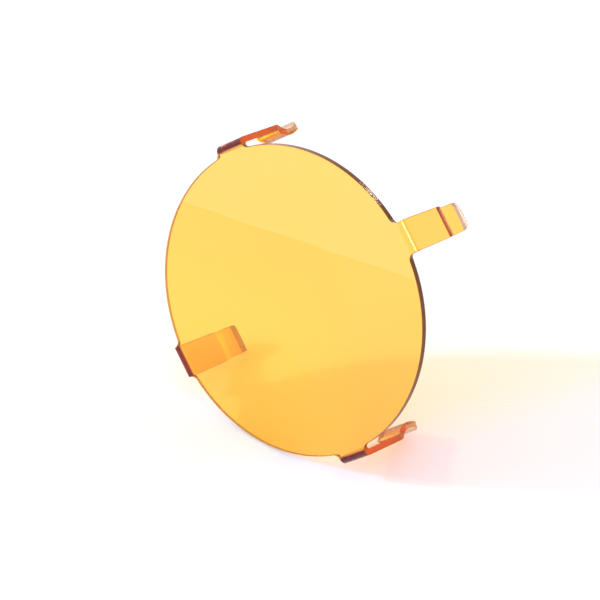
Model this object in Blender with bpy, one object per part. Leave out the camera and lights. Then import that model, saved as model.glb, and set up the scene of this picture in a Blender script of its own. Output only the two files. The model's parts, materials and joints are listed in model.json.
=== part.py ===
"""Clip-on darkroom safelight filter: an amber acrylic disc with four heat-bent snap legs.

The filter is one laser-cut sheet. Four tabs on the rim of the disc are bent back
through a right angle, run straight alongside the lamp head, step in towards the
axis to catch behind its rim, and flare out again as a lead-in.

The sheet is built here as the zones that do different work: the flat disc, and
for each leg the bent root, the straight arm and the catch hook. Each arm and hook
turn together about the leg's flexing line, just past the bend.

Local leg frame: +Z points away from the disc's axis, +Y points back, and X runs
across the leg. The whole filter leans back and stands on its rim and two hooks.
Units are metres, with +Z up.
"""

import math

import bmesh
import bpy
from mathutils import Matrix, Vector

# Sheet and disc
SHEET = 0.003
DISC_RADIUS = 0.075
DISC_SEGMENTS = 160
EDGE_BREAK = 0.00015
ZONE_GAP = 0.0003

# Leg path, in the sheet's middle plane, from the disc's rim to the tip
ARM_RADIUS = 0.0784
BEND_RADIUS = 0.0018
ARM_END = 0.0294
STEP_ANGLE = 42.0
STEP_LENGTH = 0.0011
CATCH_RADIUS = 0.0095
FLARE_RADIUS = 0.0139
FLARE_ANGLE = 38.5

# Plastic squeezed inside the root's bend rounds the inner face by this radius.
INNER_RADIUS = 0.0015
# The tip's end is cut square to the arm, so it slants through the flared sheet.
TIP_SLANT = math.tan(math.radians(FLARE_ANGLE))

# Leg widths, as half of the width across the leg
ROOT_HALF = 0.0080
ARM_END_HALF = 0.00765
CATCH_HALF = 0.0072
TIP_HALF = 0.00705
CATCH_RUN = 0.0028
ROOT_FILLET = 0.0035
TIP_CORNER = 0.0035

# Where the leg is divided, measured back from the disc's front face
FLEX_LINE = 0.0060
HOOK_LINE = 0.0286

# Stance: legs are set this far either side of the disc's vertical diameter
LEG_SPREAD = 42.1
LEAN_BACK = 17.05

AMBER = (0.97, 0.56, 0.10, 1.0)
LEGS = {
    "upper_right": LEG_SPREAD,
    "lower_right": 180.0 - LEG_SPREAD,
    "lower_left": 180.0 + LEG_SPREAD,
    "upper_left": -LEG_SPREAD,
}

# The fillet at a tab's root touches both the disc's rim and the tab's side.
FILLET_X = ROOT_HALF + ROOT_FILLET
FILLET_Z = math.sqrt((DISC_RADIUS + ROOT_FILLET) ** 2 - FILLET_X**2)
RIM_TOUCH_Z = FILLET_Z * DISC_RADIUS / (DISC_RADIUS + ROOT_FILLET)



def leg_path(bend_radius):
    """Segments of the path for this radius at the root's bend, each a length, the angle it turns through, and steps."""
    return (
        (ARM_RADIUS - bend_radius - RIM_TOUCH_Z, 0.0, 1),
        (bend_radius * math.radians(90.0), -90.0, 10),
        (ARM_END - SHEET / 2 - bend_radius, 0.0, 1),
        (BEND_RADIUS * math.radians(STEP_ANGLE), -STEP_ANGLE, 6),
        (STEP_LENGTH, 0.0, 1),
        (CATCH_RADIUS * math.radians(STEP_ANGLE), STEP_ANGLE, 9),
        (FLARE_RADIUS * math.radians(FLARE_ANGLE), FLARE_ANGLE, 9),
    )


LEG_PATH = leg_path(BEND_RADIUS)
LEG_LENGTH = sum(length for length, turn, steps in LEG_PATH)
CORNER_RUN = LEG_LENGTH - TIP_CORNER

# The inner face follows the same path, but with the wider bend that INNER_RADIUS gives it.
INNER_PATH = leg_path(SHEET / 2 + INNER_RADIUS)


def run_at(back, path=LEG_PATH):
    """Distance along the leg's path of a point on the straight arm, this far back."""
    arm_length = path[2][0]
    return path[0][0] + path[1][0] + arm_length + back - ARM_END


def inner_run(run):
    """Distance along the inner face's path that goes with a distance along the leg's path."""
    knots = (
        (0.0, 0.0),
        (LEG_PATH[0][0], INNER_PATH[0][0]),
        (LEG_PATH[0][0] + LEG_PATH[1][0], INNER_PATH[0][0] + INNER_PATH[1][0]),
        (run_at(FLEX_LINE), run_at(FLEX_LINE, INNER_PATH)),
    )
    for (low, inner_low), (high, inner_high) in zip(knots, knots[1:]):
        if run <= high:
            return inner_low + (inner_high - inner_low) * (run - low) / (high - low)
    cut_back = TIP_SLANT * SHEET * max(run - CORNER_RUN, 0.0) / TIP_CORNER
    return run - cut_back + knots[-1][1] - knots[-1][0]


def path_point(run, path=LEG_PATH):
    """Position (y, z) and heading, in radians, at a distance along the leg's path."""
    y = SHEET / 2
    z = RIM_TOUCH_Z
    heading = math.radians(90.0)
    for length, turn, steps in path:
        part = min(max(run / length, 0.0), 1.0)
        swing = math.radians(turn) * part
        if turn:
            radius = length / math.radians(turn)
            y += radius * (math.sin(heading + swing) - math.sin(heading))
            z -= radius * (math.cos(heading + swing) - math.cos(heading))
        else:
            y += length * part * math.cos(heading)
            z += length * part * math.sin(heading)
        heading += swing
        run -= length
        if run <= 0:
            break
    return y, z, heading


def half_width(run):
    """Half of the leg's width at a distance along its path."""
    fillet_end = FILLET_Z - RIM_TOUCH_Z
    if run < fillet_end:
        return FILLET_X - math.sqrt(ROOT_FILLET**2 - (fillet_end - run) ** 2)
    arm_end = run_at(ARM_END)
    points = (
        (fillet_end, ROOT_HALF),
        (arm_end, ARM_END_HALF),
        (arm_end + CATCH_RUN, CATCH_HALF),
        (CORNER_RUN, TIP_HALF),
    )
    for (low, wide), (high, narrow) in zip(points, points[1:]):
        if run <= high:
            return wide + (narrow - wide) * (run - low) / (high - low)
    along = min(run - CORNER_RUN, TIP_CORNER)
    return TIP_HALF - TIP_CORNER + math.sqrt(TIP_CORNER**2 - along**2)


def path_runs(low, high):
    """Distances along the path, from low to high, at which the sheet has a section."""
    runs = {low, high}
    start = 0.0
    for length, turn, steps in LEG_PATH:
        runs |= {start + length * i / steps for i in range(steps + 1)}
        start += length
    fillet_end = FILLET_Z - RIM_TOUCH_Z
    runs |= {fillet_end * (1.0 - math.cos(math.radians(15.0 * i))) for i in range(7)}
    runs.add(run_at(ARM_END) + CATCH_RUN)
    for i in range(9):
        runs.add(LEG_LENGTH - TIP_CORNER * (1.0 - math.sin(math.radians(11.25 * i))))
    inside = sorted(run for run in runs if low <= run <= high)
    kept = [inside[0]]
    for run in inside[1:-1]:
        if run - kept[-1] > 1e-4 and inside[-1] - run > 1e-4:
            kept.append(run)
    return kept + [inside[-1]]


def face_point(path_place, depth):
    """Point on the leg's centre line, this far out from the sheet's middle plane."""
    y, z, heading = path_place
    return Vector((0.0, y - depth * math.sin(heading), z + depth * math.cos(heading)))


def bent_strip(low, high, origin):
    """Closed mesh of the bent sheet between two distances along the leg's path."""
    bm = bmesh.new()
    sections = []
    for run in path_runs(low, high):
        outer = face_point(path_point(run), SHEET / 2) - origin
        inner = face_point(path_point(inner_run(run), INNER_PATH), -SHEET / 2) - origin
        across = Vector((half_width(run), 0.0, 0.0))
        points = (outer - across, outer + across, inner + across, inner - across)
        sections.append([bm.verts.new(point) for point in points])
    for near, far in zip(sections, sections[1:]):
        for i in range(4):
            j = (i + 1) % 4
            bm.faces.new((near[i], near[j], far[j], far[i]))
    bm.faces.new(reversed(sections[0]))
    bm.faces.new(sections[-1])
    bmesh.ops.recalc_face_normals(bm, faces=bm.faces)
    return bm


def round_plate(radius, front, back, segments):
    """Closed mesh of a round plate whose axis is Y."""
    bm = bmesh.new()
    turned = Matrix.Rotation(math.radians(90.0), 4, "X")
    centred = Matrix.Translation((0.0, (front + back) / 2, 0.0)) @ turned
    bmesh.ops.create_cone(
        bm,
        cap_ends=True,
        cap_tris=False,
        segments=segments,
        radius1=radius,
        radius2=radius,
        depth=back - front,
        matrix=centred,
    )
    return bm


def amber_acrylic(name):
    """Glossy clear amber plastic."""
    material = bpy.data.materials.new(name)
    material.use_nodes = True
    material.diffuse_color = AMBER
    shader = material.node_tree.nodes["Principled BSDF"]
    shader.inputs["Base Color"].default_value = AMBER
    shader.inputs["Metallic"].default_value = 0.0
    shader.inputs["Roughness"].default_value = 0.04
    shader.inputs["IOR"].default_value = 1.49
    shader.inputs["Transmission Weight"].default_value = 1.0
    return material


def add_object(name, bm, parent):
    """Named object made from a finished bmesh, shaded smooth between sharp edges."""
    mesh = bpy.data.meshes.new(name)
    bm.to_mesh(mesh)
    bm.free()
    mesh.shade_smooth()
    mesh.set_sharp_from_angle(angle=math.radians(35.0))
    obj = bpy.data.objects.new(name, mesh)
    obj.parent = parent
    bpy.context.scene.collection.objects.link(obj)
    return obj


def add_part(name, bm, parent):
    """Visible zone of the filter, with its own material."""
    obj = add_object(name, bm, parent)
    obj.data.materials.append(amber_acrylic(name + "_acrylic"))
    return obj


def break_edges(obj):
    """Takes the sharpness off the cut edges."""
    bevel = obj.modifiers.new("edge_break", "BEVEL")
    bevel.width = EDGE_BREAK
    bevel.segments = 1
    bevel.limit_method = "ANGLE"
    bevel.angle_limit = math.radians(60.0)
    bevel.use_clamp_overlap = True


def cut_with(obj, cutter):
    """Removes a hidden cutter's volume from an object."""
    boolean = obj.modifiers.new("cut", "BOOLEAN")
    boolean.operation = "DIFFERENCE"
    boolean.solver = "EXACT"
    boolean.object = cutter
    cutter.hide_render = True
    cutter.display_type = "WIRE"


def add_empty(name, parent, location=(0.0, 0.0, 0.0), rotation=(0.0, 0.0, 0.0)):
    """Empty that carries other objects."""
    empty = bpy.data.objects.new(name, None)
    empty.empty_display_size = 0.01
    empty.parent = parent
    empty.location = location
    empty.rotation_euler = rotation
    bpy.context.scene.collection.objects.link(empty)
    return empty


def add_disc(base):
    """The flat filter disc, with its front face at Y = 0."""
    disc = add_part("filter_disc", round_plate(DISC_RADIUS, 0.0, SHEET, DISC_SEGMENTS), base)
    break_edges(disc)
    return disc


def add_leg(base, rim_cutter, name, degrees):
    """One leg: a bent root that stays with the disc, and an arm and hook that flex."""
    seat = add_empty(name + "_seat", base, rotation=(0.0, math.radians(degrees), 0.0))
    half_gap = ZONE_GAP / 2
    flex = run_at(FLEX_LINE)
    hook = run_at(HOOK_LINE)

    root = add_part("root_" + name, bent_strip(0.0, flex - half_gap, Vector()), seat)
    cut_with(root, rim_cutter)

    pivot = Vector((0.0, FLEX_LINE, ARM_RADIUS))
    hinge = add_empty("hinge_" + name, seat, location=pivot)
    arm = add_part("arm_" + name, bent_strip(flex + half_gap, hook - half_gap, pivot), hinge)
    catch = add_part("hook_" + name, bent_strip(hook + half_gap, LEG_LENGTH, pivot), hinge)
    for piece in (root, arm, catch):
        break_edges(piece)
    return [root, arm, catch]


def stand_on_floor(base, parts):
    """Leans the filter back and sets it on Z = 0, with its box centred on X = Y = 0."""
    base.rotation_euler = (math.radians(-LEAN_BACK), 0.0, 0.0)
    bpy.context.view_layer.update()
    graph = bpy.context.evaluated_depsgraph_get()
    points = []
    for part in parts:
        evaluated = part.evaluated_get(graph)
        mesh = evaluated.to_mesh()
        points += [evaluated.matrix_world @ vertex.co for vertex in mesh.vertices]
        evaluated.to_mesh_clear()
    low = [min(point[i] for point in points) for i in range(3)]
    high = [max(point[i] for point in points) for i in range(3)]
    base.location = (-(low[0] + high[0]) / 2, -(low[1] + high[1]) / 2, -low[2])
    bpy.context.view_layer.update()


def main():
    for obj in list(bpy.data.objects):
        bpy.data.objects.remove(obj, do_unlink=True)

    base = add_empty("filter_base", None)
    parts = [add_disc(base)]

    clearance = DISC_RADIUS + ZONE_GAP
    rim_plate = round_plate(clearance, -SHEET, 2 * SHEET, DISC_SEGMENTS)
    rim_cutter = add_object("rim_cutter", rim_plate, base)
    for name, degrees in LEGS.items():
        parts += add_leg(base, rim_cutter, name, degrees)

    stand_on_floor(base, parts)


main()
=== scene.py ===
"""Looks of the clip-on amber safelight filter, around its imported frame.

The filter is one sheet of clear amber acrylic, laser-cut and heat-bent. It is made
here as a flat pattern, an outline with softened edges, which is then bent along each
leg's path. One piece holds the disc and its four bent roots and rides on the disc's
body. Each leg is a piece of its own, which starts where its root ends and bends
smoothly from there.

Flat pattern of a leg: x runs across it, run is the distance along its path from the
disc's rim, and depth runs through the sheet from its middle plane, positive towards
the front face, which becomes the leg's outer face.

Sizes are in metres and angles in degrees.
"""

import json
import math

import bpy
from mathutils import Matrix, Vector


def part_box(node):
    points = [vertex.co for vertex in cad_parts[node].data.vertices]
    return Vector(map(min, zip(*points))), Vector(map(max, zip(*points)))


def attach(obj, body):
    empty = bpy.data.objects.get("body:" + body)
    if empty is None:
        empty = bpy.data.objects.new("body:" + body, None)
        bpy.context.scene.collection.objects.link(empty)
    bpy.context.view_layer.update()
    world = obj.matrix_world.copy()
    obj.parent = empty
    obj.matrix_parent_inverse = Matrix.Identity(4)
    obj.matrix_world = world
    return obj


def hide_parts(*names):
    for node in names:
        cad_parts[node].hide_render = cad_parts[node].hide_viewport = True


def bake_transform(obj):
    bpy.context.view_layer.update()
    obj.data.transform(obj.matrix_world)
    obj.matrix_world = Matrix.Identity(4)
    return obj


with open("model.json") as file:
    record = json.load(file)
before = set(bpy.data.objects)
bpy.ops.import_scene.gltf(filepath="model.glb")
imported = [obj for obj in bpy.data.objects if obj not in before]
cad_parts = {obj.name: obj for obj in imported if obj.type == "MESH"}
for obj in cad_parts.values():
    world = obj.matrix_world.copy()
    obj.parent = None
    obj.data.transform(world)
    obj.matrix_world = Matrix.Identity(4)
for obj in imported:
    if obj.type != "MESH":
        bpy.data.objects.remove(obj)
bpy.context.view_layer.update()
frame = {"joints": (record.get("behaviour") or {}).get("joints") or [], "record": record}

# Thickness of the sheet, and the rounding of its cut edges
SHEET = 0.003
EDGE_ROUND = 0.0002
ROUND_STEPS = 3

# Points of the disc: the angle between them along its rim, and the share of its radius
# at which each ring of them lies
RIM_STEP = 1.2
RING_SHARES = (0.985, 0.92, 0.70, 0.45, 0.22)

# Leg path, in the sheet's middle plane, from the disc's rim to the tip
ROOT_ANGLE = 90.0
BEND_RADIUS = 0.0018
ARM_END = 0.0294
STEP_ANGLE = 42.0
STEP_LENGTH = 0.0011
CATCH_RADIUS = 0.0095
FLARE_RADIUS = 0.0139
FLARE_ANGLE = 38.5

# Plastic squeezed inside the root's bend rounds the inner face by this radius.
INNER_RADIUS = 0.0015
# The tip's end is cut square to the arm, so it slants through the flared sheet.
TIP_SLANT = math.tan(math.radians(FLARE_ANGLE))

# Leg widths, as half of the width across the leg
ROOT_HALF = 0.0080
ARM_END_HALF = 0.00765
CATCH_HALF = 0.0072
TIP_HALF = 0.00705
CATCH_RUN = 0.0028
ROOT_FILLET = 0.0035
FILLET_STEP = 2.0
TIP_CORNER = 0.0035
CORNER_STEP = 7.5

# Points along a leg's sides: the degrees between them on bends, the length between them
# on straight stretches, and the least length.
BEND_STEP = 3.0
STRAIGHT_STEP = 0.004
LEAST_STEP = 0.00005
# Lengths nearer than this count as equal.
LENGTH_ERROR = 1e-9

# Heat bending squeezes the sheet's sides out inside a bend, and draws them in outside.
# BEND_BULGE is for the root's bend. Another bend has less, by its angle.
BEND_BULGE = 0.00012
BULGE_REACH = 0.0015

# Length along a leg from the seam with its root; main finds the points at both ends of it, which
# nothing uses.
FLEX_LENGTH = 0.010

# The cut tip's frost sets in over this share of its rounded corner.
FROST_SHARE = 0.3


# ---------------------------------------------------------------- places from the frame


def disc_frame():
    """Matrix from the disc's own frame (Y back along its axis, Z up) to the row frame."""
    seat = next(m for m in frame["record"]["mounts"] if m["name"] == "lamp_seat")
    back = Vector(seat["axis"]).normalized()
    across = Vector((1.0, 0.0, 0.0))
    up = across.cross(back)
    front_centre = Vector(seat["pos_m"]) - back * SHEET
    turn = Matrix((across, back, up)).transposed().to_4x4()
    return Matrix.Translation(front_centre) @ turn


DISC = disc_frame()


def leg_places():
    """Each leg's angle round the disc from straight up, its arm's radius and where it flexes."""
    legs = {}
    for joint in frame["joints"]:
        x, y, z = DISC.inverted() @ Vector(joint["pos_m"])
        legs[joint["child"]] = (math.atan2(x, z), math.hypot(x, z), y)
    return legs


LEGS = leg_places()
ARM_RADIUS = sum(radius for angle, radius, line in LEGS.values()) / len(LEGS)
FLEX_LINE = sum(line for angle, radius, line in LEGS.values()) / len(LEGS)


def disc_radius():
    """Radius of the disc, from the width of its node."""
    low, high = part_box("filter_disc")
    return (high.x - low.x) / 2


DISC_RADIUS = disc_radius()


# ---------------------------------------------------------------- the leg's path

# The root's fillet: its centre, and where it touches the disc's rim
FILLET_X = ROOT_HALF + ROOT_FILLET
FILLET_Z = math.sqrt((DISC_RADIUS + ROOT_FILLET) ** 2 - FILLET_X**2)
RIM_TOUCH_Z = FILLET_Z * DISC_RADIUS / (DISC_RADIUS + ROOT_FILLET)
FILLET_RUN = FILLET_Z - RIM_TOUCH_Z


def leg_path(bend_radius):
    """Segments of the path for this radius at the root's bend: each a length and a turn."""
    return (
        (ARM_RADIUS - bend_radius - RIM_TOUCH_Z, 0.0),
        (bend_radius * math.radians(ROOT_ANGLE), -ROOT_ANGLE),
        (ARM_END - SHEET / 2 - bend_radius, 0.0),
        (BEND_RADIUS * math.radians(STEP_ANGLE), -STEP_ANGLE),
        (STEP_LENGTH, 0.0),
        (CATCH_RADIUS * math.radians(STEP_ANGLE), STEP_ANGLE),
        (FLARE_RADIUS * math.radians(FLARE_ANGLE), FLARE_ANGLE),
    )


LEG_PATH = leg_path(BEND_RADIUS)
LEG_LENGTH = sum(length for length, turn in LEG_PATH)
CORNER_RUN = LEG_LENGTH - TIP_CORNER

# The inner face follows the same path, but with the wider bend that INNER_RADIUS gives it.
INNER_PATH = leg_path(SHEET / 2 + INNER_RADIUS)


def run_at(back, path=LEG_PATH):
    """Distance along the leg's path of a point on the straight arm, this far back."""
    return path[0][0] + path[1][0] + path[2][0] + back - ARM_END


SEAM_RUN = run_at(FLEX_LINE)
ARM_END_RUN = run_at(ARM_END)


def inner_run(run):
    """Distance along the inner face's path that goes with a distance along the leg's path."""
    if run <= 0.0:
        return run
    knots = (
        (0.0, 0.0),
        (LEG_PATH[0][0], INNER_PATH[0][0]),
        (LEG_PATH[0][0] + LEG_PATH[1][0], INNER_PATH[0][0] + INNER_PATH[1][0]),
        (SEAM_RUN, run_at(FLEX_LINE, INNER_PATH)),
    )
    for (low, inner_low), (high, inner_high) in zip(knots, knots[1:]):
        if run <= high:
            return inner_low + (inner_high - inner_low) * (run - low) / (high - low)
    cut_back = TIP_SLANT * SHEET * max(run - CORNER_RUN, 0.0) / TIP_CORNER
    return run - cut_back + knots[-1][1] - knots[-1][0]


def face_point(run, path, depth):
    """Point on the leg's centre line, this far out from the sheet's middle plane."""
    y = SHEET / 2
    z = RIM_TOUCH_Z
    heading = math.radians(90.0)
    for length, turn in path:
        part = min(run / length, 1.0)
        swing = math.radians(turn) * part
        if turn:
            radius = length / math.radians(turn)
            y += radius * (math.sin(heading + swing) - math.sin(heading))
            z -= radius * (math.cos(heading + swing) - math.cos(heading))
        else:
            y += length * part * math.cos(heading)
            z += length * part * math.sin(heading)
        heading += swing
        run -= length
        if run <= 0:
            break
    return Vector((0.0, y - depth * math.sin(heading), z + depth * math.cos(heading)))


def bulge_at(run, depth):
    """How far the sheet's side stands out, at a bend, from its width on the flat."""
    total = 0.0
    start = 0.0
    for length, turn in LEG_PATH:
        if turn < 0:
            reach = length / 2 + BULGE_REACH
            away = abs(run - start - length / 2) / reach
            total += math.cos(min(away, 1.0) * math.pi / 2) ** 2 * abs(turn) / ROOT_ANGLE
        start += length
    return -BEND_BULGE * total * depth / (SHEET / 2)


def place(angle, x, run, depth):
    """Point in the row frame of a point of the flat pattern, on the leg at this angle."""
    outer = face_point(run, LEG_PATH, depth)
    inner = face_point(inner_run(run), INNER_PATH, depth)
    bent = outer.lerp(inner, 0.5 - depth / SHEET)
    bent.x = x * (1.0 + bulge_at(run, depth) / ROOT_HALF)
    return DISC @ Matrix.Rotation(angle, 4, "Y") @ bent


def place_on_disc(angle, radius, depth):
    """Point in the row frame of a point of the disc."""
    return DISC @ Matrix.Rotation(angle, 4, "Y") @ Vector((0.0, SHEET / 2 - depth, radius))


# ---------------------------------------------------------------- the flat pattern


def edge_profile():
    """Inset and depth of each point through the sheet, round its cut edge from front to back."""
    front = []
    for i in range(ROUND_STEPS + 1):
        lean = math.radians(90.0 * i / ROUND_STEPS)
        inset = EDGE_ROUND * (1.0 - math.sin(lean))
        front.append((inset, SHEET / 2 - EDGE_ROUND * (1.0 - math.cos(lean))))
    return front + [(inset, -depth) for inset, depth in reversed(front)]


PROFILE = edge_profile()


def side_half(run):
    """Half of the leg's width between its root's fillet and its tip's corner, and its slope."""
    points = (
        (FILLET_RUN, ROOT_HALF),
        (ARM_END_RUN, ARM_END_HALF),
        (ARM_END_RUN + CATCH_RUN, CATCH_HALF),
        (CORNER_RUN, TIP_HALF),
    )
    for (low, wide), (high, narrow) in zip(points, points[1:]):
        if run <= high + LENGTH_ERROR:
            slope = (narrow - wide) / (high - low)
            return wide + slope * (run - low), slope
    return TIP_HALF, 0.0


def side_runs(low, high):
    """Distances along the leg's path at which its side has a point."""
    runs = {low, high, ARM_END_RUN + CATCH_RUN}
    start = 0.0
    for length, turn in LEG_PATH:
        steps = max(1, math.ceil(abs(turn) / BEND_STEP), round(length / STRAIGHT_STEP))
        runs |= {start + length * i / steps for i in range(steps + 1)}
        start += length
    inside = sorted(run for run in runs if low <= run <= high)
    kept = [inside[0]]
    for run in inside[1:-1]:
        if run - kept[-1] > LEAST_STEP and inside[-1] - run > LEAST_STEP:
            kept.append(run)
    return kept + [inside[-1]]


# A side is a list of (x, run, outward x, outward run), on the right of the leg.


def root_side():
    """Right side of a leg's root, from the disc's rim to the seam."""
    centre = Vector((FILLET_X, FILLET_RUN))
    first = math.atan2(-FILLET_Z, -FILLET_X) + math.tau
    steps = math.ceil(math.degrees(first - math.pi) / FILLET_STEP)
    side = []
    for i in range(steps + 1):
        swing = first + (math.pi - first) * i / steps
        out = Vector((math.cos(swing), math.sin(swing)))
        point = centre + out * ROOT_FILLET
        side.append((point.x, point.y, -out.x, -out.y))
    return side[:-1] + straight_side(FILLET_RUN, SEAM_RUN)


def straight_side(low, high):
    """Right side of a leg between its root's fillet and its tip's corner."""
    side = []
    for run in side_runs(low, high):
        half, slope = side_half(run)
        out = Vector((1.0, -slope)).normalized()
        side.append((half, run, out.x, out.y))
    return side


def leg_side():
    """Right side of a leg, from the seam to the start of its tip's straight edge."""
    side = straight_side(SEAM_RUN, CORNER_RUN)
    steps = math.ceil(90.0 / CORNER_STEP)
    for i in range(1, steps + 1):
        swing = math.radians(90.0 * i / steps)
        out = Vector((math.cos(swing), math.sin(swing)))
        x = TIP_HALF - TIP_CORNER + TIP_CORNER * out.x
        side.append((x, CORNER_RUN + TIP_CORNER * out.y, out.x, out.y))
    return side


def outline_lengths(side):
    """Distance along the outline of each of its points."""
    lengths = [0.0]
    for near, far in zip(side, side[1:]):
        lengths.append(lengths[-1] + math.dist(near[:2], far[:2]))
    return lengths


# ---------------------------------------------------------------- building meshes

# Where a face is on the cut edge: all of it, the disc's rim, and a leg's tip.
MASKS = ("cut_edge", "rim_edge", "tip_edge")
# The widest faces alone set the normals that they share with narrow ones.
FACE_WEIGHT = 100


class SheetMesh:
    """Mesh of cut sheet: columns of points through the sheet, and the faces between them."""

    def __init__(self):
        self.points = []
        self.faces = []
        self.masks = {name: [] for name in MASKS}
        self.uvs = []

    def add_point(self, point):
        """Add a point, and give its number."""
        self.points.append(point)
        return len(self.points) - 1

    def add_face(self, corners, uvs, **masks):
        """Add a face, with a UV for each corner and the masks that it is in."""
        self.faces.append(corners)
        self.uvs.append(uvs)
        for name, values in self.masks.items():
            values.append(masks.get(name, 0.0))

    def column(self, angle, x, run, out_x, out_run):
        """Points through the sheet at one place on a leg's outline, front to back."""
        return [
            self.add_point(place(angle, x - out_x * inset, run - out_run * inset, depth))
            for inset, depth in PROFILE
        ]

    def rim_column(self, angle):
        """Points through the sheet at one place on the disc's rim, front to back."""
        return [
            self.add_point(place_on_disc(angle, DISC_RADIUS - inset, depth))
            for inset, depth in PROFILE
        ]

    def cut_strip(self, near, far, start, end, **masks):
        """Cut edge between two columns, whose distances along the outline are start and end."""
        for i in range(len(PROFILE) - 1):
            j = i + 1
            corners = (near[i], far[i], far[j], near[j])
            depths = [PROFILE[k][1] for k in (i, i, j, j)]
            uvs = list(zip((start, end, end, start), depths))
            self.add_face(corners, uvs, cut_edge=1.0, **masks)

    def face_strip(self, left, right, next_left, next_right, uvs):
        """Front and back faces of the sheet between two sections."""
        self.add_face((left[0], right[0], next_right[0], next_left[0]), uvs)
        self.add_face((next_left[-1], next_right[-1], right[-1], left[-1]), uvs[::-1])

    def make_object(self, name, material):
        """Object of this mesh, shaded smooth round its edges and flat on its faces."""
        mesh = bpy.data.meshes.new(name)
        mesh.from_pydata(self.points, [], self.faces)
        for mask, values in self.masks.items():
            mesh.attributes.new(mask, "FLOAT", "FACE").data.foreach_set("value", values)
        layer = mesh.uv_layers.new(name="sheet")
        flat = [number for uvs in self.uvs for uv in uvs for number in uv]
        layer.data.foreach_set("uv", flat)
        mesh.validate()
        mesh.shade_smooth()
        mesh.materials.append(material)
        obj = bpy.data.objects.new(name, mesh)
        bpy.context.scene.collection.objects.link(obj)
        normals = obj.modifiers.new("face_weighted_normals", "WEIGHTED_NORMAL")
        normals.mode = "FACE_AREA"
        normals.weight = FACE_WEIGHT
        return obj


def leg_columns(sheet, angle, side):
    """Columns up a leg's left and right side, with the cut edges and faces between them."""
    lengths = outline_lengths(side)
    left = [sheet.column(angle, -x, run, -out_x, out_run) for x, run, out_x, out_run in side]
    right = [sheet.column(angle, x, run, out_x, out_run) for x, run, out_x, out_run in side]
    for i in range(len(side) - 1):
        j = i + 1
        (x, run), (next_x, next_run) = side[i][:2], side[j][:2]
        # The rim's painted shade fades out along the root's fillet.
        rim = max(0.0, 1.0 - run / FILLET_RUN)
        tip = min(1.0, max(0.0, run - CORNER_RUN) / (FROST_SHARE * TIP_CORNER))
        sheet.cut_strip(left[i], left[j], lengths[i], lengths[j], rim_edge=rim, tip_edge=tip)
        sheet.cut_strip(right[j], right[i], lengths[j], lengths[i], rim_edge=rim, tip_edge=tip)
        uvs = [(-x, run), (x, run), (next_x, next_run), (-next_x, next_run)]
        sheet.face_strip(left[i], right[i], left[j], right[j], uvs)
    return left, right


def fill_disc(sheet, loop, depth_index, angles):
    """One face of the disc: rings inside a closed loop of columns, round one flat middle."""
    depth = PROFILE[depth_index][1]
    centre = place_on_disc(0.0, 0.0, depth)
    outer = [column[depth_index] for column in loop]
    radii = [(sheet.points[i] - centre).length for i in outer]
    count = len(outer)

    def flat(k, share):
        reach = radii[k] * share
        return (reach * math.sin(angles[k]), reach * math.cos(angles[k]))

    def ring(share):
        return [
            sheet.add_point(place_on_disc(angle, radius * share, depth))
            for angle, radius in zip(angles, radii)
        ]

    rings = [outer] + [ring(share) for share in RING_SHARES]
    shares = (1.0,) + RING_SHARES
    for near, far, wide, narrow in zip(rings, rings[1:], shares, shares[1:]):
        for k in range(count):
            n = (k + 1) % count
            corners = [near[k], far[k], far[n], near[n]]
            uvs = [flat(k, wide), flat(k, narrow), flat(n, narrow), flat(n, wide)]
            if depth < 0:
                corners.reverse()
                uvs.reverse()
            sheet.add_face(tuple(corners), uvs)
    middle = list(range(count))
    if depth > 0:
        middle.reverse()
    sheet.add_face(tuple(rings[-1][k] for k in middle), [flat(k, RING_SHARES[-1]) for k in middle])


def filter_sheet(material):
    """The disc with its four filleted, bent roots, up to the seams with the legs."""
    sheet = SheetMesh()
    side = root_side()
    touch = math.asin(side[0][0] / DISC_RADIUS)
    legs = sorted(angle % math.tau for angle, radius, line in LEGS.values())
    # The loop of columns round the disc, their angles, and the places in the loop where a
    # root starts, across which the rim isn't cut
    loop = []
    angles = []
    roots = []
    for leg, following in zip(legs, legs[1:] + [legs[0] + math.tau]):
        left, right = leg_columns(sheet, leg, side)
        span = following - leg - 2 * touch
        steps = math.ceil(math.degrees(span) / RIM_STEP)
        rim_angles = [leg + touch + span * i / steps for i in range(steps)]
        roots.append(len(loop))
        loop += [left[0], right[0]] + [sheet.rim_column(angle) for angle in rim_angles[1:]]
        angles += [leg - touch] + rim_angles
    closed = list(zip(loop, angles)) + [(loop[0], angles[0] + math.tau)]
    for i, ((near, start), (far, end)) in enumerate(zip(closed, closed[1:])):
        if i not in roots:
            sheet.cut_strip(near, far, start * DISC_RADIUS, end * DISC_RADIUS, rim_edge=1.0)
    fill_disc(sheet, loop, 0, angles)
    fill_disc(sheet, loop, len(PROFILE) - 1, angles)
    return sheet.make_object("filter_sheet", material)


def leg_piece(name, angle, material):
    """A leg from its seam to its tip: straight arm, step in, and flared lead-in."""
    sheet = SheetMesh()
    side = leg_side()
    left, right = leg_columns(sheet, angle, side)
    end = outline_lengths(side)[-1]
    width = 2 * side[-1][0]
    sheet.cut_strip(left[-1], right[-1], end, end + width, tip_edge=1.0)
    return sheet.make_object(name, material)


# ---------------------------------------------------------------- the acrylic

MM_PER_METRE = 1000.0
WHITE = (1.0, 1.0, 1.0)

IOR = 1.49
# Share of red, green and blue light that passes through one millimetre.
CLEAR_PER_MM = (0.985, 0.872, 0.50)
# Length of the usual way through the sheet, a little slanted
SHEET_CROSSING = 0.0033
# The tint on the way in stands for half of that. Straight ways inside up to the first of
# these lengths leave that half out, and ways past the second leave nothing out.
LONG_WAY = (0.0036, 0.0042)
# Each reflection inside the sheet keeps this share of the light, so ways that turn inside it come
# out darker.
KEPT_INSIDE = 0.82

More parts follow.
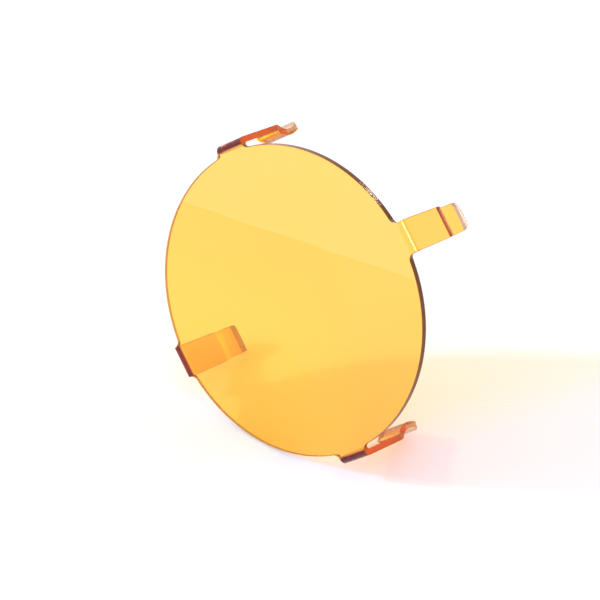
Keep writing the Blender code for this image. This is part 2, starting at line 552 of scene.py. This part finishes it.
# The cut edges are slightly frosted: this share of them passes light, the rest scatters it.
CUT_CLEARNESS = 0.8
CUT_COLOUR = (0.86, 0.37, 0.04)
# The rim's cut edge is darker than the legs': painted shade for the dark surroundings that it shows
# by reflection inside the sheet, over the acrylic's deeper tint along a cut edge.
RIM_COLOUR_AND_SHADE = (0.62, 0.16, 0.04)
CUT_GLINT = (1.0, 0.55, 0.30)
# Colour that the cut edges add to light that reaches them from inside the sheet.
CUT_INSIDE = (0.97, 0.62, 0.34)
# The cut tip is frosted: it scatters this share of the light that leaves through it.
FROST = 0.9
FROST_COLOUR = (0.66, 0.55, 1.0)

# Tint that each face and each cut edge gives to the lamps' light on its way through.
FACE_SHADOW = (0.98, 0.76, 0.36)
CUT_SHADOW = (0.98, 0.85, 0.60)

# Fine ribs through the sheet that the laser leaves on a cut edge
RIB_SCALE = 5200.0
RIB_STRETCH = (1.0, 0.12, 1.0)
RIB_DETAIL = 3.0
RIB_RANGE = (0.3, 0.7)
RIB_ROUGHNESS = (0.10, 0.24)
RIB_DEPTH = 0.00003

# Hairline wear that makes the polished faces a little rougher in places
WEAR_SCALE = 1500.0
WEAR_STRETCH = (1.0, 0.05, 1.0)
WEAR_DETAIL = 4.0
WEAR_EVENNESS = 0.7
WEAR_RANGE = (0.55, 0.75)
WEAR_ROUGHNESS = (0.012, 0.03)

# Slight waves of the sheet's surface
WAVE_SCALE = 38.0
WAVE_DETAIL = 1.0
WAVE_DEPTH = 0.00002


class Nodes:
    """Node tree of a material or a world, with short ways to add and join nodes."""

    def __init__(self, owner):
        owner.use_nodes = True
        self.tree = owner.node_tree
        self.tree.nodes.clear()

    def add(self, kind, **settings):
        """New shader node of this kind, with these properties."""
        node = self.tree.nodes.new("ShaderNode" + kind)
        for name, value in settings.items():
            setattr(node, name, value)
        return node

    def join(self, output, socket):
        """Link an output to a socket."""
        self.tree.links.new(output, socket)

    def put(self, value, socket):
        """Give a socket its value: an output, a number or a colour."""
        if isinstance(value, (int, float)):
            socket.default_value = value
        elif isinstance(value, tuple):
            socket.default_value = (*value, 1.0)
        else:
            self.join(value, socket)

    def maths(self, operation, *values):
        """Result of an operation on outputs or numbers."""
        node = self.add("Math", operation=operation)
        for value, socket in zip(values, node.inputs):
            self.put(value, socket)
        return node.outputs[0]

    def scaled_range(self, value, low, high, to_low, to_high, smooth=False):
        """Value carried from one range to another and held at its ends."""
        node = self.add("MapRange")
        if smooth:
            node.interpolation_type = "SMOOTHSTEP"
        self.join(value, node.inputs["Value"])
        node.inputs["From Min"].default_value = low
        node.inputs["From Max"].default_value = high
        node.inputs["To Min"].default_value = to_low
        node.inputs["To Max"].default_value = to_high
        return node.outputs["Result"]

    def mixed_number(self, share, first, second):
        """First number, going over to the second by a share."""
        node = self.add("Mix", data_type="FLOAT")
        self.put(share, node.inputs["Factor"])
        self.put(first, node.inputs[2])
        self.put(second, node.inputs[3])
        return node.outputs[0]

    def mixed_colour(self, share, first, second, blend="MIX"):
        """First colour, going over to the second, or blended with it, by a share."""
        node = self.add("Mix", data_type="RGBA", blend_type=blend)
        self.put(share, node.inputs["Factor"])
        self.put(first, node.inputs[6])
        self.put(second, node.inputs[7])
        return node.outputs[2]

    def mixed_shader(self, share, first, second):
        """First shader, going over to the second by a share."""
        node = self.add("MixShader")
        self.join(share, node.inputs["Fac"])
        self.join(first.outputs[0], node.inputs[1])
        self.join(second.outputs[0], node.inputs[2])
        return node

    def noise(self, vector, scale, detail, roughness=0.5):
        """Noise at a place, from 0 to 1."""
        node = self.add("TexNoise")
        self.join(vector, node.inputs["Vector"])
        node.inputs["Scale"].default_value = scale
        node.inputs["Detail"].default_value = detail
        node.inputs["Roughness"].default_value = roughness
        return node.outputs["Fac"]

    def stretched(self, vector, scale):
        """Place scaled by a factor along each axis."""
        node = self.add("Mapping")
        self.join(vector, node.inputs["Vector"])
        node.inputs["Scale"].default_value = scale
        return node.outputs["Vector"]

    def bump(self, height, distance, normal=None):
        """Normal of a surface raised by a height times this distance."""
        node = self.add("Bump")
        node.inputs["Distance"].default_value = distance
        self.join(height, node.inputs["Height"])
        if normal is not None:
            self.join(normal, node.inputs["Normal"])
        return node.outputs["Normal"]

    def to_surface(self, shader):
        """Make a shader the material's surface."""
        self.join(shader.outputs[0], self.add("OutputMaterial").inputs["Surface"])


def tint(millimetres):
    """Share of red, green and blue light that passes through this much of the acrylic."""
    return tuple(share**millimetres for share in CLEAR_PER_MM)


def acrylic_surface(nodes, cut):
    """Roughness and normal: polished, faintly worn faces and finely ribbed cut edges."""
    sheet = nodes.add("UVMap", uv_map="sheet").outputs["UV"]
    ribs = nodes.noise(nodes.stretched(sheet, RIB_STRETCH), RIB_SCALE, RIB_DETAIL)
    wear = nodes.noise(nodes.stretched(sheet, WEAR_STRETCH), WEAR_SCALE, WEAR_DETAIL, WEAR_EVENNESS)
    waves = nodes.noise(sheet, WAVE_SCALE, WAVE_DETAIL)
    face_rough = nodes.scaled_range(wear, *WEAR_RANGE, *WEAR_ROUGHNESS)
    cut_rough = nodes.scaled_range(ribs, *RIB_RANGE, *RIB_ROUGHNESS)
    rough = nodes.mixed_number(cut, face_rough, cut_rough)
    ribbed = nodes.bump(nodes.maths("MULTIPLY", ribs, cut), RIB_DEPTH)
    return rough, nodes.bump(waves, WAVE_DEPTH, ribbed)


def light_entering(nodes, cut, rim):
    """Shader for light that meets the sheet from outside."""
    shader = nodes.add("BsdfPrincipled")
    shader.inputs["IOR"].default_value = IOR
    clearness = nodes.scaled_range(cut, 0.0, 1.0, 1.0, CUT_CLEARNESS)
    nodes.join(clearness, shader.inputs["Transmission Weight"])
    glint = nodes.mixed_colour(cut, WHITE, CUT_GLINT)
    nodes.join(glint, shader.inputs["Specular Tint"])
    # The rim's cut edge takes the darker colour, which holds painted shade.
    cut_colour = nodes.mixed_colour(rim, CUT_COLOUR, RIM_COLOUR_AND_SHADE)
    colour = nodes.mixed_colour(cut, tint(SHEET_CROSSING * MM_PER_METRE), cut_colour)
    nodes.join(colour, shader.inputs["Base Color"])
    return shader


def light_inside(nodes, cut, light_path):
    """Shader for light that meets a face from inside, deepened by the way it came."""
    length = light_path.outputs["Ray Length"]
    straight = light_path.outputs["Is Transmission Ray"]
    already = nodes.scaled_range(length, *LONG_WAY, SHEET_CROSSING / 2, 0.0, smooth=True)
    already = nodes.maths("MULTIPLY", already, straight)
    way = nodes.maths("SUBTRACT", length, already)
    deepened = nodes.add("Gamma")
    nodes.put(CLEAR_PER_MM, deepened.inputs["Color"])
    nodes.join(nodes.maths("MULTIPLY", way, MM_PER_METRE), deepened.inputs["Gamma"])
    reflected = nodes.maths("SUBTRACT", 1.0, straight)
    dimmed = nodes.mixed_colour(reflected, deepened.outputs["Color"], (KEPT_INSIDE,) * 3, "MULTIPLY")
    shader = nodes.add("BsdfGlass")
    shader.inputs["IOR"].default_value = IOR
    nodes.join(nodes.mixed_colour(cut, dimmed, CUT_INSIDE, "MULTIPLY"), shader.inputs["Color"])
    return shader


def amber_acrylic():
    """Clear amber acrylic, with a tint that deepens along the light's way inside it."""
    material = bpy.data.materials.new("amber_acrylic")
    nodes = Nodes(material)
    cut, rim, tip = (nodes.add("Attribute", attribute_name=mask).outputs["Fac"] for mask in MASKS)
    light_path = nodes.add("LightPath")
    rough, normal = acrylic_surface(nodes, cut)
    entering = light_entering(nodes, cut, rim)
    inside = light_inside(nodes, cut, light_path)
    for shader in (entering, inside):
        nodes.join(rough, shader.inputs["Roughness"])
        nodes.join(normal, shader.inputs["Normal"])

    frosted = nodes.add("BsdfTranslucent")
    nodes.put(FROST_COLOUR, frosted.inputs["Color"])
    leaving = nodes.mixed_shader(nodes.maths("MULTIPLY", tip, FROST), inside, frosted)
    from_inside = nodes.add("NewGeometry").outputs["Backfacing"]
    seen = nodes.mixed_shader(from_inside, entering, leaving)

    # Lamps' light passes straight through, with the sheet's tint shared between its two faces.
    passing = nodes.add("BsdfTransparent")
    nodes.join(nodes.mixed_colour(cut, FACE_SHADOW, CUT_SHADOW), passing.inputs["Color"])
    nodes.to_surface(nodes.mixed_shader(light_path.outputs["Is Shadow Ray"], seen, passing))
    return material


# ---------------------------------------------------------------- floor

FLOOR_COLOUR = (0.88, 0.88, 0.89)
FLOOR_REACH = 8.0
# The floor lies this far under the filter, so that no two faces meet in one plane.
FLOOR_DROP = 0.0001

# The floor glows faintly blue at the front right, which pales the amber patch there.
GLOW_DIRECTION = (0.867, -0.4985, 0.0)
GLOW_REACH = (0.014, 0.062)
GLOW_COLOUR = (0.2, 0.10, 1.0)
GLOW_STRENGTH = 0.20


def white_floor_material():
    """Plain white, with a faint cool glow at the front right."""
    material = bpy.data.materials.new("white_floor")
    nodes = Nodes(material)
    matt = nodes.add("BsdfDiffuse")
    nodes.put(FLOOR_COLOUR, matt.inputs["Color"])
    along = nodes.add("VectorMath", operation="DOT_PRODUCT")
    nodes.join(nodes.add("TexCoord").outputs["Object"], along.inputs[0])
    along.inputs[1].default_value = GLOW_DIRECTION
    glow = nodes.scaled_range(along.outputs["Value"], *GLOW_REACH, 0.0, GLOW_STRENGTH, smooth=True)
    shine = nodes.add("Emission")
    nodes.put(GLOW_COLOUR, shine.inputs["Color"])
    nodes.join(glow, shine.inputs["Strength"])
    both = nodes.add("AddShader")
    nodes.join(matt.outputs[0], both.inputs[0])
    nodes.join(shine.outputs[0], both.inputs[1])
    nodes.to_surface(both)
    return material


def white_floor():
    """Floor under the filter, wide enough to fill the picture from any side."""
    mesh = bpy.data.meshes.new("floor")
    signs = ((-1, -1), (1, -1), (1, 1), (-1, 1))
    corners = [(x * FLOOR_REACH, y * FLOOR_REACH, 0.0) for x, y in signs]
    mesh.from_pydata(corners, [], [(0, 1, 2, 3)])
    mesh.materials.append(white_floor_material())
    floor = bpy.data.objects.new("floor", mesh)
    floor.location.z = -FLOOR_DROP
    bpy.context.scene.collection.objects.link(floor)


# ---------------------------------------------------------------- light

# Strength of the surroundings up to one height and from another, where straight up is 1
HORIZON_HEIGHT = 0.15
HORIZON_STRENGTH = 1.38
SKY_HEIGHT = 0.6
SKY_STRENGTH = 1.01

# Way towards the key light, low at the front left
KEY_TOWARDS = (-0.683, -0.546, 0.486)
KEY_COLOUR = (1.0, 0.985, 0.96)
KEY_ENERGY = 2.15
KEY_ANGLE = 4.0
# A second, wide light from the same place softens the shadow with distance.
SPREAD_ENERGY = 0.65
SPREAD_ANGLE = 40.0

# The cards' powers are in watts for each square metre.

# Overhead card: the way towards it, its distance, size and power
OVERHEAD_TOWARDS = (0.56, -0.15, 0.81)
OVERHEAD_DISTANCE = 2.0
OVERHEAD_SIZE = (0.9, 0.7)
OVERHEAD_POWER = 28.0

# Low card, which faces up at the front left. Its edge is the line across the disc.
LOW_PLACE = (-0.712, -0.901, 0.002)
LOW_SIZE = (1.6, 1.2)
LOW_TURN = -47.1
LOW_POWER = 3.2

# A small card glints on the rim: the place of the glint, and the way from there to the card.
GLINT_PLACE = (0.0286, 0.002, 0.1384)
GLINT_TOWARDS = (-0.048, 0.930, 0.365)
GLINT_DISTANCE = 0.7
GLINT_SIZE = (0.035, 0.03)
GLINT_POWER = 240.0


def surroundings():
    """Soft white surroundings, brightest at the horizon."""
    world = bpy.data.worlds.new("studio")
    bpy.context.scene.world = world
    world.cycles.sampling_method = "NONE"
    nodes = Nodes(world)
    direction = nodes.add("TexCoord").outputs["Generated"]
    parts = nodes.add("SeparateXYZ")
    nodes.join(direction, parts.inputs[0])
    heights = (HORIZON_HEIGHT, SKY_HEIGHT)
    strengths = (HORIZON_STRENGTH, SKY_STRENGTH)
    strength = nodes.scaled_range(parts.outputs["Z"], *heights, *strengths, smooth=True)
    background = nodes.add("Background")
    nodes.join(strength, background.inputs["Strength"])
    output = nodes.add("OutputWorld")
    nodes.join(background.outputs[0], output.inputs["Surface"])


def key_light(name, energy, angle, glossy):
    """Low light from the front left, as wide as this angle. Reflections show it if glossy."""
    key = bpy.data.objects.new(name, bpy.data.lights.new(name, "SUN"))
    key.data.energy = energy
    key.data.angle = math.radians(angle)
    key.data.color = KEY_COLOUR
    key.rotation_euler = Vector(KEY_TOWARDS).to_track_quat("Z", "Y").to_euler()
    key.visible_glossy = glossy
    key.visible_transmission = False
    bpy.context.scene.collection.objects.link(key)


def reflection_card(name, location, away, size, power):
    """Soft panel that shows only in the filter's reflections. It faces back along away."""
    data = bpy.data.lights.new(name, "AREA")
    data.shape = "RECTANGLE"
    data.size, data.size_y = size
    data.energy = power * size[0] * size[1]
    card = bpy.data.objects.new(name, data)
    card.location = location
    card.rotation_euler = Vector(away).to_track_quat("Z", "Y").to_euler()
    card.visible_camera = False
    card.visible_diffuse = False
    card.visible_transmission = False
    bpy.context.scene.collection.objects.link(card)
    return card


def reflection_cards():
    """The three panels that the filter mirrors: overhead, low at the front left, and a glint."""
    overhead = Vector(OVERHEAD_TOWARDS).normalized()
    overhead_at = overhead * OVERHEAD_DISTANCE
    card = reflection_card("overhead_card", overhead_at, overhead, OVERHEAD_SIZE, OVERHEAD_POWER)
    # Its reflection in a leg is also seen through the disc.
    card.visible_transmission = True
    down = (0.0, 0.0, -1.0)
    card = reflection_card("low_card", LOW_PLACE, down, LOW_SIZE, LOW_POWER)
    card.rotation_euler.z = math.radians(LOW_TURN)
    towards = Vector(GLINT_TOWARDS)
    glint_at = Vector(GLINT_PLACE) + towards * GLINT_DISTANCE
    reflection_card("glint_card", glint_at, towards, GLINT_SIZE, GLINT_POWER)


def studio_light():
    """Soft surroundings, a key light with a wider one round it, and the reflection cards."""
    surroundings()
    key_light("key", KEY_ENERGY, KEY_ANGLE, glossy=True)
    key_light("key_spread", SPREAD_ENERGY, SPREAD_ANGLE, glossy=False)
    reflection_cards()


# ---------------------------------------------------------------- camera

# Fitted to the disc's rim and to the legs' edges
CAMERA_PLACE = (0.82102, -1.05287, 1.17647)
CAMERA_FORWARD = (-0.4754, 0.6024, -0.6412)
CAMERA_ROLL = 1.2
CAMERA_LENS = 221.45
SENSOR_WIDTH = 36.0
CLIP_START = 0.05
CLIP_END = 50.0


def camera():
    """Camera at the front right, above the filter, through a long lens."""
    data = bpy.data.cameras.new("camera")
    data.sensor_width = SENSOR_WIDTH
    data.lens = CAMERA_LENS
    data.clip_start = CLIP_START
    data.clip_end = CLIP_END
    forward = Vector(CAMERA_FORWARD).normalized()
    level = forward.cross(Vector((0.0, 0.0, 1.0))).normalized()
    up = level.cross(forward)
    roll = math.radians(CAMERA_ROLL)
    right = level * math.cos(roll) + up * math.sin(roll)
    up = right.cross(forward)
    turn = Matrix((right, up, -forward)).transposed().to_4x4()
    obj = bpy.data.objects.new("camera", data)
    obj.matrix_world = Matrix.Translation(CAMERA_PLACE) @ turn
    bpy.context.scene.collection.objects.link(obj)
    bpy.context.scene.camera = obj


# ---------------------------------------------------------------- the scene

# Light that goes round inside the sheet takes many turns before it leaves.
BOUNCES = 24


def light_settings():
    """Colours as they are, and enough bounces for clear plastic."""
    scene = bpy.context.scene
    scene.view_settings.view_transform = "Standard"
    scene.cycles.caustics_reflective = False
    scene.cycles.blur_glossy = 0.0
    scene.cycles.max_bounces = BOUNCES
    scene.cycles.transmission_bounces = BOUNCES
    scene.cycles.glossy_bounces = BOUNCES


def main():
    """The filter's five pieces on the frame, and the studio round them."""
    light_settings()
    bodies = frame["record"]["behaviour"]["bodies"]
    acrylic = amber_acrylic()
    disc = filter_sheet(acrylic)
    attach(disc, "disc")
    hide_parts(*bodies["disc"])
    for body, (angle, radius, line) in LEGS.items():
        leg = leg_piece(body, angle, acrylic)
        start = place(angle, 0.0, SEAM_RUN, 0.0)
        end = place(angle, 0.0, SEAM_RUN + FLEX_LENGTH, 0.0)
        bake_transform(leg)
        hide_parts(*bodies[body])
    white_floor()
    studio_light()
    camera()


main()
